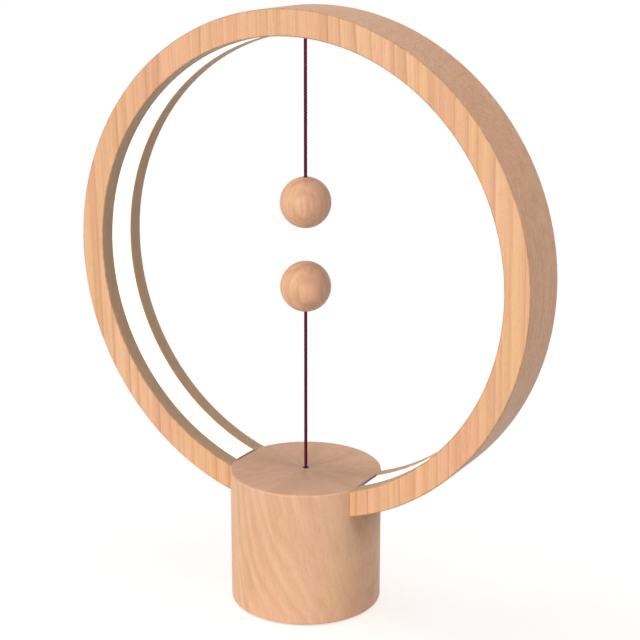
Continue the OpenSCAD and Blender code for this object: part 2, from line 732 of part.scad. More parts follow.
module micro_switch() color([0.16, 0.16, 0.18]) difference() {
    translate([micro_x, -micro_size.y / 2, micro_z]) cube(micro_size);
    translate([button_x - button_size.x / 2 - fit, -button_size.y / 2 - fit, micro_z - tiny])
        cube([button_size.x + 2 * fit, button_size.y + 2 * fit, 2.2]);
    for (s = [-1, 1]) {
        translate([micro_x, s * micro_screw_y, micro_screw_z]) rotate([0, 90, 0])
            screw_hole(micro_screw_d, micro_size.x + tiny);
        translate([micro_x + micro_size.x - 0.6, s * terminal_y, terminal_z - screw_fit])
            translate([0, -terminal_size.y / 2 - screw_fit, 0])
                cube([1, terminal_size.y + 2 * screw_fit, terminal_size.z + 2 * screw_fit]);
    }
}

module micro_switch_screws() color(steel) for (s = [-1, 1])
    translate([micro_x + micro_size.x, s * micro_screw_y, micro_screw_z]) rotate([0, -90, 0])
        screw(micro_screw_d, micro_size.x + fit + micro_screw_bite - 0.2, 2.6, 0.8);

module micro_switch_button() color([0.75, 0.20, 0.16])
    translate([button_x - button_size.x / 2, -button_size.y / 2, micro_z - button_free + button_travel])
        cube([button_size.x, button_size.y, button_free - button_travel + 1.4]);

module micro_switch_terminals() color(brass) for (s = [-1, 1])
    translate([micro_x + micro_size.x - 0.5, s * terminal_y - terminal_size.y / 2, terminal_z])
        cube([terminal_size.x, terminal_size.y, terminal_size.z]);

// ---------------------------------------------------------------- board and inlet

module control_board() color([0.10, 0.38, 0.22]) difference() {
    translate([0, 0, board_z]) cylinder(r = board_r, h = board_t, $fn = 128);
    at_posts(board_z) screw_hole(board_screw_d, board_t + tiny);
}

module at_posts(z) {
    for (a = post_angles) rotate([0, 0, a]) translate([post_r, 0, z]) children();
}

module board_posts() color(brass) at_posts(ballast_z + ballast_t) difference() {
    union() {
        cylinder(d = post_af / cos(30), h = post_h, $fn = 6);
        translate([0, 0, -post_thread_len]) cylinder(d = post_thread_d, h = post_thread_len + 0.2, $fn = 24);
    }
    translate([0, 0, post_h]) rotate([180, 0, 0]) screw_hole(board_screw_d, board_screw_bite + 0.4);
}

module board_screws() color(steel) at_posts(board_top) rotate([180, 0, 0])
    screw(board_screw_d, board_t + board_screw_bite, 3.6, 1.2);

// The driver and the smaller parts beside it, as [x, y, length, width, height]
board_chip_list = [
    [0, -3, 6, 5, 1.6], [8, -9, 3.2, 1.6, 0.8], [8, -12, 3.2, 1.6, 0.8], [-9, 4, 4, 4, 2],
    [9, 6, 3.2, 1.6, 0.8], [9, 9, 3.2, 1.6, 0.8], [0, 8, 5, 4, 1.6]];

module board_chips() color(black) for (c = board_chip_list)
    translate([c[0] - c[2] / 2, c[1] - c[3] / 2, board_top]) cube([c[2], c[3], c[4]]);

module board_capacitors() color([0.30, 0.33, 0.40]) for (p = [[-7, -12], [1, -14]])
    translate([p.x, p.y, board_top]) rotate_extrude($fn = 48)
        polygon([[0, 0], [3.2, 0], [3.2, 1.2], [2.9, 1.5], [3.2, 1.8], [3.2, 6.6], [2.8, 7], [0, 7]]);

module wire_sockets() color([0.92, 0.91, 0.86]) {
    wire_socket(-1, small_socket_w, wire_pair_y);
    wire_socket(1, wire_socket_size.y, concat(wire_pair_y, [-terminal_y, terminal_y]));
}

module wire_socket(side, w, wires) difference() {
    translate([side * wire_x - wire_socket_size.x / 2, -w / 2, board_top])
        cube([wire_socket_size.x, w, wire_socket_size.z]);
    for (y = wires) translate([side * wire_x, y, wire_end_z]) rotate([180, 0, 0])
        cylinder(d = wire_d + 0.2, h = 2 * wire_plug_in, center = true, $fn = 24);
}

module inlet_socket() color(steel) translate([0, socket_y, inlet_z]) rotate([-90, 0, 0]) {
    difference() {
        linear_extrude(height = socket_size.y) socket_outline(0);
        translate([0, 0, 0.8]) linear_extrude(height = socket_size.y) socket_outline(socket_wall);
    }
    translate([-1.8, -0.3, 0.7]) cube([3.6, 0.6, 4]);
}

// The flared outline of the inlet's mouth, w smaller all round
module socket_outline(w) {
    x = socket_size.x / 2 - w;
    y = socket_size.z / 2 - w;
    polygon([[-x, -y], [x, -y], [x, y * 0.3], [x - 1, y], [1 - x, y], [-x, y * 0.3]]);
}

module inlet_bezel() color(black) difference() {
    union() {
        intersection() {
            translate([0, bezel_flange_y + tiny, inlet_z]) rotate([-90, 0, 0]) linear_extrude(height = base_r)
                stadium(inlet_w + 2 * bezel_wall - 2 * roof_fit, inlet_h + 2 * bezel_wall - 2 * roof_fit);
            cylinder(r = base_r - 0.1, h = base_h, $fn = 180);
        }
        translate([-bezel_flange_size.x / 2, bezel_flange_y, inlet_z - bezel_flange_size.y / 2])
            cube([bezel_flange_size.x, bezel_flange_t, bezel_flange_size.y]);
    }
    translate([0, bezel_flange_y + bezel_flange_t, inlet_z]) rotate([-90, 0, 0])
        linear_extrude(height = base_r) stadium(inlet_w, inlet_h);
    translate([0, bezel_flange_y - 1, inlet_z]) rotate([-90, 0, 0])
        linear_extrude(height = bezel_flange_t + 2)
            square([socket_size.x + running_gap, socket_size.z + running_gap], center = true);
}

// ---------------------------------------------------------------- wires

// Down from a start above and beside the board to a socket
function drop_path(x0, z0, x1, y, z1) =
    let (a = [x0, y, z0], b = [x1 + (x0 - x1) * 0.2, y, z0], c = [x1, y, z0 - 1], d = [x1, y, z0 - 6])
    concat([for (i = [0 : wire_steps]) bezier(a, b, c, d, i / wire_steps)],
        [[x1, y, (z0 + z1) / 2], [x1, y, z1]]);

module wire(x0, z0, x1, y) {
    bar_along(drop_path(x0, z0, x1, y, wire_end_z - wire_plug_in + 0.2), wire_d, [0, 1, 0], wire_sides);
}

module ring_wires(side) {
    for (y = wire_pair_y) wire(side * wire_start_x, wire_start_z, side * wire_x, y);
}

module led_wires_left() color([0.70, 0.10, 0.10]) ring_wires(-1);
module led_wires_right() color([0.70, 0.10, 0.10]) ring_wires(1);

module switch_wires() color([0.15, 0.25, 0.60]) for (s = [-1, 1])
    wire(terminal_x, terminal_z - wire_d / 2 - tiny, wire_x, s * terminal_y);

// ---------------------------------------------------------------- nodes

base_shell();
base_plate();
foot_ring();
ballast();
base_plate_screws();
ballast_screws();
ring_frame();
diffuser();
led_strip_left();
led_strip_right();
led_chips();
ring_saddle();
ring_end_screws();
switch_mount_screws();
cord_clip();
cord_clip_screws();
upper_eyelet();
upper_anchor_knot();
upper_cord_bend();
upper_cord();
upper_ball_top();
upper_ball_bottom();
upper_magnet();
upper_ball_knot();
lower_eyelet();
lower_cord_bend();
lower_cord();
lower_ball_top();
lower_ball_bottom();
lower_magnet();
lower_ball_knot();
switch_housing();
switch_plunger();
plunger_spring();
pull_cord();
pull_cord_knot();
micro_switch();
micro_switch_screws();
micro_switch_button();
micro_switch_terminals();
control_board();
board_posts();
board_screws();
board_chips();
board_capacitors();
wire_sockets();
inlet_socket();
inlet_bezel();
led_wires_left();
led_wires_right();
switch_wires();
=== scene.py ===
"""Looks of the magnetic balance lamp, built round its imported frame.

Metres, +Z up, +Y to the back, with the origin on the table under the middle of the base.
Each sub-assembly is a class that models its own pieces and dresses the nodes of the frame.
"""

import json
import logging
import math
from dataclasses import dataclass
from enum import Enum
from typing import ClassVar, Sequence, Union

import bmesh
import bpy
from mathutils import Matrix, Vector


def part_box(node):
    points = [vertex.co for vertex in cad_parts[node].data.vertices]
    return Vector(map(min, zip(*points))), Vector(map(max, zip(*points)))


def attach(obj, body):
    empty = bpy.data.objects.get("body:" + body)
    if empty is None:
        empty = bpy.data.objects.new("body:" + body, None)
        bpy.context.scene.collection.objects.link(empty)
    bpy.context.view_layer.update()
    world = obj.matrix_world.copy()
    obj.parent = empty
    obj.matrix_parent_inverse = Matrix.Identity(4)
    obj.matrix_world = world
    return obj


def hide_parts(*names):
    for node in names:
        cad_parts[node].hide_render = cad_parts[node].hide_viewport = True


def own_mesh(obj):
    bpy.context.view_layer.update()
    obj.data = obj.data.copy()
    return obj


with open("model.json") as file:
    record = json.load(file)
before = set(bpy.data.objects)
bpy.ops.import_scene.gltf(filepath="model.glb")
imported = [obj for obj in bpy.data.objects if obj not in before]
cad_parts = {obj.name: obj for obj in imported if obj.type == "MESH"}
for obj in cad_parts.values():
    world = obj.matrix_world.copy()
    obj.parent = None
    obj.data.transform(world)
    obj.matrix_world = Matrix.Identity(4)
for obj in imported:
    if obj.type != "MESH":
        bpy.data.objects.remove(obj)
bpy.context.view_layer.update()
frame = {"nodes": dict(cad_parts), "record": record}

MM = 0.001
LOG = logging.getLogger("lamp")

# The inputs and the output of a Mix node that is set to colours.
MIX_SHARE, MIX_BELOW, MIX_ABOVE = 0, 6, 7
MIX_RESULT = 2
WHITE = (1.0, 1.0, 1.0, 1.0)
# Brightest channel of a tinted colour, in 0 to 255.
BRIGHTEST = 252
# Millimetres within which two points of a mesh are one, and a point lies on a cut.
MERGE_DISTANCE = 1e-4
CUT_DISTANCE = 1e-5
# Width of the camera's sensor in millimetres.
SENSOR_WIDTH = 36

Object = bpy.types.Object
Material = bpy.types.Material
Socket = bpy.types.NodeSocket
Value = Union[float, Sequence[float], Socket]
Colour = tuple[float, float, float, float]


def tone(red: float, green: float, blue: float) -> Colour:
    """A colour as a screen shows it, in 0 to 255, turned by the sRGB curve into a shader's colour.

    Args:
        red: Red as shown.
        green: Green as shown.
        blue: Blue as shown.

    Returns:
        The linear colour, with an alpha of 1.
    """
    shown = [channel / 255 for channel in (red, green, blue)]
    linear = [c / 12.92 if c <= 0.04045 else ((c + 0.055) / 1.055) ** 2.4 for c in shown]
    return (*linear, 1.0)


# --- shader graphs


class Graph:
    """The shader graph of one material, whose patterns are written in millimetres."""

    def __init__(self, name: str) -> None:
        """Starts a material that holds one plain shader.

        Args:
            name: The material's name.
        """
        self.material = bpy.data.materials.new(name)
        self.material.use_nodes = True
        self.tree = self.material.node_tree
        self.tree.nodes.clear()
        self.shader = self.tree.nodes.new("ShaderNodeBsdfPrincipled")
        self.output = self.tree.nodes.new("ShaderNodeOutputMaterial")
        self.tree.links.new(self.shader.outputs[0], self.output.inputs["Surface"])
        self.place = self.node("ShaderNodeTexCoord").outputs["Object"]

    def node(
        self, kind: str, inputs: dict[Union[int, str], Value] | None = None, **settings: object
    ) -> bpy.types.Node:
        """Adds a node.

        Args:
            kind: The node's type name.
            inputs: A number, a colour or another node's output for each socket.
            **settings: Values of the node's own properties.

        Returns:
            The new node.
        """
        made = self.tree.nodes.new(kind)
        for name, value in settings.items():
            setattr(made, name, value)
        for key, value in (inputs or {}).items():
            self.feed(made.inputs[key], value)
        return made

    def feed(self, socket: Socket, value: Value) -> None:
        """Gives a socket a value or a link.

        Args:
            socket: The input.
            value: A number, a colour or another node's output.
        """
        if isinstance(value, Socket):
            self.tree.links.new(value, socket)
        else:
            socket.default_value = value

    def millimetres(
        self,
        stretch: Sequence[float] = (1, 1, 1),
        turn: Sequence[float] = (0, 0, 0),
        shift: Sequence[float] = (0, 0, 0),
    ) -> Socket:
        """The point on the piece in millimetres, turned and stretched for a pattern.

        Args:
            stretch: Share of each axis that is kept, so that a small share draws a pattern out.
            turn: Turn about each axis in degrees, before the stretch.
            shift: Millimetres added after the turn.

        Returns:
            The vector output.
        """
        moved = self.node("ShaderNodeMapping", {
            "Vector": self.place,
            "Location": shift,
            "Rotation": [math.radians(angle) for angle in turn],
            "Scale": (1 / MM, 1 / MM, 1 / MM),
        }).outputs[0]
        return self.node("ShaderNodeMapping", {"Vector": moved, "Scale": stretch}).outputs[0]

    def noise(
        self, vector: Value | None = None, *, scale: float, detail: float = 2, rough: float = 0.5,
        bend: float = 0
    ) -> Socket:
        """Smooth noise from 0 to 1 about a half.

        Args:
            vector: Where it is read, which is in plain millimetres if none is given.
            scale: Waves per unit of the vector.
            detail: Number of finer layers.
            rough: Strength of the finer layers.
            bend: How much it is warped.

        Returns:
            The factor output.
        """
        return self.node("ShaderNodeTexNoise", {
            "Vector": self.millimetres() if vector is None else vector,
            "Scale": scale, "Detail": detail, "Roughness": rough, "Distortion": bend,
        }).outputs[0]

    def cells(self, vector: Value, scale: float) -> Socket:
        """Distance to the nearest of a field of scattered points.

        Args:
            vector: Where it is read.
            scale: Points per unit of the vector.

        Returns:
            The distance output.
        """
        return self.node("ShaderNodeTexVoronoi", {"Vector": vector, "Scale": scale}).outputs["Distance"]

    def maths(self, operation: str, first: Value, second: Value = 0.0, third: Value = 0.0) -> Socket:
        """Arithmetic on numbers.

        Args:
            operation: Name of the operation.
            first: First operand.
            second: Second operand.
            third: Third operand, where the operation has one.

        Returns:
            The result.
        """
        inputs = {0: first, 1: second, 2: third}
        return self.node("ShaderNodeMath", inputs, operation=operation).outputs[0]

    def length(self, vector: Value) -> Socket:
        """The length of a vector."""
        return self.node("ShaderNodeVectorMath", {0: vector}, operation="LENGTH").outputs["Value"]

    def split(self, vector: Value) -> tuple[Socket, Socket, Socket]:
        """The three parts of a vector.

        Args:
            vector: The vector.

        Returns:
            Its X, Y and Z.
        """
        parts = self.node("ShaderNodeSeparateXYZ", {0: vector}).outputs
        return parts[0], parts[1], parts[2]

    def join(self, x: Value, y: Value, z: Value) -> Socket:
        """A vector from three numbers.

        Args:
            x: Its X.
            y: Its Y.
            z: Its Z.

        Returns:
            The vector.
        """
        return self.node("ShaderNodeCombineXYZ", {0: x, 1: y, 2: z}).outputs[0]

    def between(self, value: Value, low: float, high: float, start: float = 0, end: float = 1) -> Socket:
        """A number eased from start to end while value goes from low to high.

        Args:
            value: The number read.
            low: Where the change starts.
            high: Where it ends.
            start: Result at low and below.
            end: Result at high and above.

        Returns:
            The eased number.
        """
        return self.node(
            "ShaderNodeMapRange",
            {0: value, 1: low, 2: high, 3: start, 4: end},
            interpolation_type="SMOOTHSTEP",
        ).outputs[0]

    def ramp(self, value: Value, stops: Sequence[tuple[float, float]]) -> Socket:
        """A curve of grey through given points.

        Args:
            value: The number read.
            stops: Pairs of place and grey, from 0 to 1.

        Returns:
            The grey.
        """
        made = self.node("ShaderNodeValToRGB", {0: value})
        elements = made.color_ramp.elements
        while len(elements) < len(stops):
            elements.new(1.0)
        for element, (place, grey) in zip(elements, stops):
            element.position = place
            element.color = (grey, grey, grey, 1)
        return made.outputs[0]

    def mix(self, share: Value, below: Value, above: Value) -> Socket:
        """Lays one colour over another.

        Args:
            share: How much of the upper colour shows.
            below: The lower colour.
            above: The upper colour.

        Returns:
            The colour.
        """
        made = self.node("ShaderNodeMix", data_type="RGBA")
        for socket, value in ((MIX_SHARE, share), (MIX_BELOW, below), (MIX_ABOVE, above)):
            self.feed(made.inputs[socket], value)
        return made.outputs[MIX_RESULT]

    def bump(self, height: Value, depth: float, over: Value | None = None) -> Socket:
        """A relief of the surface.

        Args:
            height: Height from 0 to 1.
            depth: Millimetres from lowest to highest.
            over: A relief that this one lies on.

        Returns:
            The normal.
        """
        inputs: dict[Union[int, str], Value] = {"Height": height, "Strength": 1.0, "Distance": depth * MM}
        if over is not None:
            inputs["Normal"] = over
        return self.node("ShaderNodeBump", inputs).outputs[0]

    def dress(self, **sockets: Value) -> Material:
        """Sets the shader's sockets and ends the material.

        Args:
            **sockets: Each socket's name, with _ for a space, and its value.

        Returns:
            The material.
        """
        for name, value in sockets.items():
            self.feed(self.shader.inputs[name.replace("_", " ")], value)
        return self.material


# --- finishes


@dataclass(frozen=True)
class Finish:
    """A surface finish, which makes its material once.

    Attributes:
        name: Name of the material and of the record's slot.
        colour: Main colour, as shown.
    """

    name: str
    colour: tuple[float, float, float]

    def material(self) -> Material:
        """The finish's material, made the first time it is asked for."""
        return bpy.data.materials.get(self.material_name) or self.build(Graph(self.material_name))

    @property
    def material_name(self) -> str:
        """Name that keeps the finish apart from the frame's own plain material."""
        return f"{self.name}_finish"

    def build(self, graph: Graph) -> Material:
        """Fills the graph.

        Args:
            graph: A new graph.

        Returns:
            The finished material.
        """
        raise NotImplementedError

    def tinted(self, red: float, green: float, blue: float) -> Colour:
        """The main colour with a share of each channel, none of them over BRIGHTEST."""
        shares = zip(self.colour, (red, green, blue))
        return tone(*(min(channel * share, BRIGHTEST) for channel, share in shares))

    def shade(self, share: float) -> Colour:
        """The main colour at a share of its brightness."""
        return self.tinted(share, share, share)


@dataclass(frozen=True)
class Pattern:
    """Noise that is drawn out along the fibres of wood.

    Attributes:
        offset: Shift that sets it apart from the wood's other patterns.
        scale: Waves per millimetre across the fibres.
        draw: Share of the length along the fibres that is kept.
        detail: Number of finer layers.
        rough: Strength of the finer layers.
        bend: How much it is warped.
    """

    offset: float
    scale: float
    draw: float
    detail: float = 2
    rough: float = 0.5
    bend: float = 0


@dataclass(frozen=True)
class Beech(Finish):
    """Lacquered beech: soft bands, growth lines about a pith, fibres, ray flecks and pores.

    Attributes:
        pith: Where the tree's middle ran, X and Y in millimetres, at the height of the table.
        lean: How far the pith moves in X and Y for each millimetre of Z.
        line_gap: Millimetres from one growth line to the next.
        line_depth: How dark a growth line is.
        wave: How far the growth lines wander, in gaps.
        flow: Share of Z at which they wander, so that a small share keeps them straight.
        fade: Share of a gap over which a growth line's late side ends, so that a small share is crisp.
        tilt: Degrees by which the fibres lean to the left.
        figure: Strength of the bands and streaks.
        fibre_depth: How dark the finest fibres are.
        seed: Shift of all the patterns, so that no two pieces look alike.
    """

    pith: tuple[float, float] = (-300, 0)
    lean: tuple[float, float] = (0, 0)
    line_gap: float = 7.5
    line_depth: float = 0.2
    wave: float = 1.0
    flow: float = 0.12
    fade: float = 0.1
    tilt: float = 0
    figure: float = 1
    fibre_depth: float = 0.2
    seed: float = 0

    def along(self, graph: Graph, share: float, offset: float = 0) -> Socket:
        """The point in millimetres, drawn out along the fibres.

        Args:
            graph: The material's graph.
            share: Share of the length along the fibres that is kept.
            offset: Shift that sets one pattern apart from another.

        Returns:
            The vector.
        """
        shift = (self.seed * 3.1 + offset, self.seed + offset * 1.7, offset * 0.3)
        return graph.millimetres((1, 1, share), (0, self.tilt, 0), shift)

    def read(self, graph: Graph, pattern: Pattern) -> Socket:
        """A pattern as it runs through this wood.

        Args:
            graph: The material's graph.
            pattern: The pattern.

        Returns:
            Its number, from 0 to 1 about a half.
        """
        return graph.noise(
            self.along(graph, pattern.draw, pattern.offset),
            scale=pattern.scale, detail=pattern.detail, rough=pattern.rough, bend=pattern.bend)

    def growth(self, graph: Graph) -> Socket:
        """Shade of the wood from early, 0, to the end of each year's growth, 1.

        Args:
            graph: The material's graph.

        Returns:
            The shade.
        """
        x, y, z = graph.split(graph.millimetres())
        pith_x = graph.maths("MULTIPLY_ADD", z, -self.lean[0], -self.pith[0])
        pith_y = graph.maths("MULTIPLY_ADD", z, -self.lean[1], -self.pith[1])
        flat = graph.join(graph.maths("ADD", x, pith_x), graph.maths("ADD", y, pith_y), 0.0)
        radius = graph.length(flat)
        wander = self.read(graph, Pattern(offset=3, scale=0.03, draw=self.flow))
        ripple = self.read(graph, Pattern(offset=9, scale=0.13, draw=self.flow * 1.6, rough=0.45))
        strength = self.read(graph, Pattern(offset=21, scale=0.07, draw=self.flow * 0.5, detail=1))
        count = graph.maths("MULTIPLY_ADD", radius, 1 / self.line_gap, self.seed * 0.137)
        count = graph.maths("MULTIPLY_ADD", wander, 3.4 * self.wave, count)
        count = graph.maths("MULTIPLY_ADD", ripple, 0.6 * self.wave, count)
        shade = graph.ramp(graph.maths("FRACT", count), [
            (0.0, 0.8), (self.fade, 0.05), (0.5, 0.1),
            (1 - 2 * self.fade, 0.4), (1 - 0.3 * self.fade, 1.0)])
        return graph.maths("MULTIPLY", shade, graph.between(strength, 0.3, 0.68, 0.2, 1))

    def build(self, graph: Graph) -> Material:
        """Layers tint, growth lines, streaks, fibres, flecks and pores."""
        tint = self.read(graph, Pattern(offset=1, scale=0.07, draw=0.05, bend=0.3))
        pallor = self.read(graph, Pattern(offset=5, scale=0.045, draw=0.1, bend=0.3))
        band = self.read(graph, Pattern(offset=11, scale=0.30, draw=0.02, rough=0.55))
        streak = self.read(graph, Pattern(offset=13, scale=0.85, draw=0.03, detail=3, rough=0.6))
        fibre = self.read(graph, Pattern(offset=17, scale=2.6, draw=0.05, detail=3, rough=0.6))
        pore = self.read(graph, Pattern(offset=0, scale=3.1, draw=0.11, detail=1))
        pores = graph.between(pore, 0.64, 0.74)
        flecks = graph.between(graph.cells(self.along(graph, 0.34), scale=0.55), 0.24, 0.08)

        colour = graph.mix(graph.between(tint, 0.3, 0.7), self.golden(), self.rosy())
        colour = graph.mix(graph.between(pallor, 0.35, 0.68, 0, 0.6), colour, self.pale())
        lines = graph.maths("MULTIPLY", self.growth(graph), self.line_depth)
        colour = graph.mix(lines, colour, self.late())
        colour = graph.mix(graph.between(band, 0.44, 0.72, 0, 0.36 * self.figure), colour, self.dark())
        colour = graph.mix(graph.between(streak, 0.44, 0.72, 0, 0.30 * self.figure), colour, self.dark())
        colour = graph.mix(graph.between(fibre, 0.35, 0.75, 0, self.fibre_depth), colour, self.dark())
        colour = graph.mix(graph.maths("MULTIPLY", flecks, 0.12), colour, self.deep())
        colour = graph.mix(graph.maths("MULTIPLY", pores, 0.22), colour, self.deep())
        colour = self.local(graph, colour)

        relief = graph.bump(streak, depth=0.03)
        relief = graph.bump(fibre, depth=0.02, over=relief)
        relief = graph.bump(graph.maths("SUBTRACT", 1.0, pores), depth=0.03, over=relief)
        return graph.dress(
            Base_Color=colour,
            Roughness=graph.between(fibre, 0.2, 0.8, 0.44, 0.58),
            Specular_IOR_Level=0.36,
            Normal=relief,
            Coat_Weight=0.08,
            Coat_Roughness=0.35,
        )

    def local(self, graph: Graph, colour: Socket) -> Socket:
        """What one piece alone has over the wood, which here is nothing."""
        return colour

    def golden(self) -> Colour:
        """The yellower of the wood's two tints."""
        return self.tinted(1.0, 1.01, 0.95)

    def rosy(self) -> Colour:
        """The pinker of the wood's two tints."""
        return self.tinted(1.0, 0.965, 0.99)

    def pale(self) -> Colour:
        """The lightest wood."""
        return self.tinted(1.035, 1.05, 1.075)

    def late(self) -> Colour:
        """The end of a year's growth."""
        return self.tinted(0.81, 0.72, 0.63)

    def dark(self) -> Colour:
        """The darker of the bands and streaks."""
        return self.tinted(0.86, 0.80, 0.73)

    def deep(self) -> Colour:
        """The darkest flecks, pores and edges."""
        return self.tinted(0.66, 0.56, 0.46)


@dataclass(frozen=True)
class RingBeech(Beech):
    """The ring's wood, with rays on its outside, darker edges and painted shade over its inside.

    Attributes:
        centre_z: Height of the ring's centre in millimetres.
        outside: Radius of the ring's outside.
        inside: Radius of its inside.
        half_depth: Half its depth.
        edge: Width of the darker edges.
        corner: How near to a corner they are darkest.
    """

    centre_z: float = 170
    outside: float = 121
    inside: float = 108.5
    half_depth: float = 15.75
    edge: float = 0.9
    corner: float = 0.15

    def section(self, graph: Graph) -> tuple[Socket, Socket]:
        """Where a point of the ring lies in its section.

        Args:
            graph: The material's graph.

        Returns:
            Its distance from the ring's middle, and from the plane that halves the ring.
        """
        x, y, z = graph.split(graph.millimetres())
        radius = graph.length(graph.join(x, 0.0, graph.maths("SUBTRACT", z, self.centre_z)))
        return radius, graph.maths("ABSOLUTE", y)

    def growth(self, graph: Graph) -> Socket:
        """Growth lines that are sharp on the faces and faint on the outside."""
        radius, _ = self.section(graph)
        faint = graph.between(radius, self.outside - 0.7, self.outside - 0.2, 1.0, 0.3)
        return graph.maths("MULTIPLY", super().growth(graph), faint)

    def local(self, graph: Graph, colour: Socket) -> Socket:
        """Speckles the outside, darkens the four edges and paints shade over the inside."""
        radius, depth = self.section(graph)
        near_face = graph.between(depth, self.half_depth - self.edge, self.half_depth - self.corner)
        near_out = graph.between(radius, self.outside - self.edge, self.outside - self.corner)
        near_in = graph.between(radius, self.inside + self.edge, self.inside + self.corner)
        edges = graph.maths("MULTIPLY", near_face, graph.maths("MAXIMUM", near_out, near_in))
        rays = graph.between(graph.cells(graph.millimetres((1, 0.5, 0.4)), scale=0.8), 0.5, 0.1)
        coarse = graph.noise(graph.millimetres((0.6, 1, 0.35)), scale=0.9, detail=3, rough=0.65)
        rim = graph.between(radius, self.outside - 0.5, self.outside - 0.1)
        stain = graph.maths("MULTIPLY_ADD", rays, 0.28, graph.between(coarse, 0.3, 0.7, 0.1, 0.5))
        colour = graph.mix(graph.maths("MULTIPLY", rim, stain), colour, self.dark())
        patchy = graph.noise(scale=0.35, detail=3, rough=0.6)
        share = graph.maths("MULTIPLY", edges, graph.between(patchy, 0.3, 0.7, 0.25, 0.65))
        colour = graph.mix(share, colour, self.deep())
        # Painted shade: the ring's inside, lips included, is darkened and greyed in patches.
        behind_face = graph.between(depth, self.half_depth - self.corner, self.half_depth - 0.45)
        on_inside = graph.between(radius, self.inside + self.edge, self.inside + 0.5)
        inside_shade_mask = graph.maths("MULTIPLY", behind_face, on_inside)
        share = graph.maths("MULTIPLY", inside_shade_mask, graph.between(patchy, 0.3, 0.7, 0.7, 0.95))
        return graph.mix(share, colour, self.painted_inside_shade())

    def painted_inside_shade(self) -> Colour:
        """Painted shade for the ring's inside, darker and greyer than its wood."""
        return self.tinted(0.78, 0.83, 0.83)


@dataclass(frozen=True)
class BaseBeech(Beech):
    """The base's wood, with a sunburst of wedges on its top round the cord's hole.

    Attributes:
        top_z: Height of the top in millimetres.
        radius: Radius of the base.
        seam_x: How far from the middle the ring's inside goes down through the top.
        gap_shadow_half: Half the length of the painted shadow along that seam.
    """

    top_z: float = 67
    radius: float = 37
    seam_x: float = 34.7
    gap_shadow_half: float = 11.5

    def local(self, graph: Graph, colour: Socket) -> Socket:
        """Lays the sunburst over the top, paints a highlight along its rim and a shadow in the gap by the
        ring.
        """
        x, y, z = graph.split(graph.millimetres())
        flat = graph.join(x, y, 0.0)
        radius = graph.length(flat)
        ray = graph.node("ShaderNodeVectorMath", {0: flat}, operation="NORMALIZE").outputs[0]
        outward = graph.join(0.0, 0.0, graph.maths("MULTIPLY", radius, 0.012))
        spoke = graph.node("ShaderNodeVectorMath", {0: ray, 1: outward}, operation="ADD").outputs[0]
        wedge = graph.noise(spoke, scale=2.6)
        thread = graph.noise(spoke, scale=12.0, detail=3, rough=0.6)
        sunburst = graph.mix(graph.between(wedge, 0.34, 0.66, 0, 0.7), self.rosy(), self.dark())
        sunburst = graph.mix(graph.between(thread, 0.42, 0.75, 0, 0.4), sunburst, self.dark())
        top = graph.between(z, self.top_z - 0.5, self.top_z - 0.1)
        colour = graph.mix(graph.maths("MULTIPLY", top, 0.6), colour, sunburst)
        # Painted highlight: a pale band along the top's outer edge.
        rim = graph.maths(
            "MULTIPLY",
            graph.between(z, self.top_z - 1.6, self.top_z - 0.2),
            graph.between(radius, self.radius - 1.4, self.radius - 0.2),
        )
        colour = graph.mix(graph.maths("MULTIPLY", rim, 0.22), colour, self.pale())
        # Painted shadow: a dark brown line on the top where the ring's inside goes down into it, for the
        # gap there.
        beside = graph.between(graph.maths("ABSOLUTE", x), self.seam_x - 1.1, self.seam_x - 0.35)
        along = graph.between(graph.maths("ABSOLUTE", y), self.gap_shadow_half, self.gap_shadow_half - 3.5)
        gap_shadow = graph.maths("MULTIPLY", beside, graph.maths("MULTIPLY", along, top))
        return graph.mix(graph.maths("MULTIPLY", gap_shadow, 0.85), colour, tone(104, 74, 56))


@dataclass(frozen=True)
class Opal(Finish):
    """The lit diffuser, a touch warmer towards its edges.

    Attributes:
        glow: Strength of its light.
        half_width: Half the width of the window in millimetres.
    """

    glow: float = 0.8
    half_width: float = 7.8

    def build(self, graph: Graph) -> Material:
        """Lights the window from behind."""
        _, y, _ = graph.split(graph.millimetres())
        edge = graph.between(graph.maths("ABSOLUTE", y), self.half_width - 3.4, self.half_width)
        cloud = graph.noise(scale=0.03)
        cream = tone(255, 243, 222)
        colour = graph.mix(graph.between(edge, 0, 1, 0, 0.5), tone(*self.colour), cream)
        colour = graph.mix(graph.between(cloud, 0.3, 0.7, 0, 0.12), colour, cream)
        grain = graph.noise(scale=4.0)
        return graph.dress(
            Base_Color=colour,
            Roughness=0.45,
            Normal=graph.bump(grain, depth=0.01),
            Emission_Color=colour,
            Emission_Strength=self.glow,
        )


@dataclass(frozen=True)
class TwistedCord(Finish):
    """Dark waxed cord with a faint gloss and stray lighter fibres."""

    def build(self, graph: Graph) -> Material:
        """Runs fibres along the strands."""
        fibre = graph.noise(graph.millimetres((1, 1, 0.3)), scale=7.0, detail=3, rough=0.6)
        patchy = graph.noise(graph.millimetres((1, 1, 0.1)), scale=0.9)
        colour = graph.mix(graph.between(fibre, 0.35, 0.7), self.shade(0.72), self.shade(1.3))
        colour = graph.mix(graph.between(patchy, 0.45, 0.75, 0, 0.35), colour, self.shade(1.5))
        return graph.dress(
            Base_Color=colour,
            Roughness=0.7,
            Specular_IOR_Level=0.18,
            Normal=graph.bump(fibre, depth=0.06),
        )


